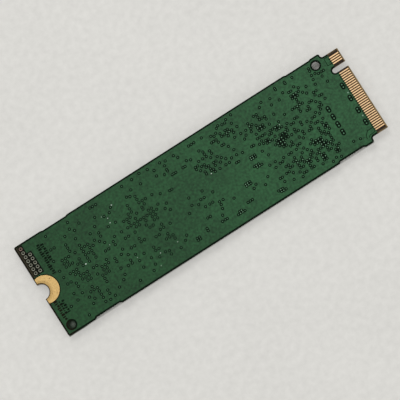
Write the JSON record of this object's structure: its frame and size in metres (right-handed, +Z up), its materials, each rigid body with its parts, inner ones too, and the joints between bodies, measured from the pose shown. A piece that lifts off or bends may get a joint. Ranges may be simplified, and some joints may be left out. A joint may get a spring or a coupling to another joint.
{
  "type": "solid-state drive card",
  "caption": "Thin green circuit card with a keyed gold edge connector at one end, a half-round screw notch at the other, and flat memory and controller packages underneath.",
  "frame": {"origin": "under the middle of the card, on the surface that its tallest packages rest on", "axes": "+X along the card from the screw notch to the contacts, +Y across the card towards the key slot, +Z up out of the bare back face"},
  "size_m": [0.08, 0.022, 0.002],
  "materials": {
    "solder_mask": "satin green solder mask over laminate",
    "gold_plating": "bright gold plating",
    "tin_plating": "dull tin plating",
    "solder": "reflowed solder",
    "package_moulding": "matt black moulding compound",
    "inductor_core": "pressed iron powder",
    "capacitor_ceramic": "tan fired ceramic",
    "dark_ceramic": "dark fired ceramic",
    "crystal_lid": "plain metal lid"
  },
  "bodies": {
    "root": {"circuit_board": "solder_mask", "contact_fingers_back": "gold_plating", "contact_fingers_front": "gold_plating", "screw_pad_back": "gold_plating", "screw_pad_front": "gold_plating", "test_point_eyelets": "tin_plating", "flash_package_1": "package_moulding", "flash_package_2": "package_moulding", "memory_package": "package_moulding", "controller_package": "package_moulding", "flash_solder_balls_1": "solder", "flash_solder_balls_2": "solder", "memory_solder_balls": "solder", "controller_solder_balls": "solder", "power_chip": "package_moulding", "power_chip_leads": "tin_plating", "power_inductors": "inductor_core", "inductor_terminals": "tin_plating", "crystal_base": "dark_ceramic", "crystal_lid": "crystal_lid", "coupling_capacitors": "capacitor_ceramic", "coupling_capacitor_terminals": "tin_plating", "bulk_capacitors": "capacitor_ceramic", "bulk_capacitor_terminals": "tin_plating", "decoupling_capacitors": "capacitor_ceramic", "decoupling_capacitor_terminals": "tin_plating", "chip_resistors": "dark_ceramic", "resistor_terminals": "tin_plating", "input_fuse": "dark_ceramic", "fuse_terminals": "tin_plating"}
  },
  "joints": []
}
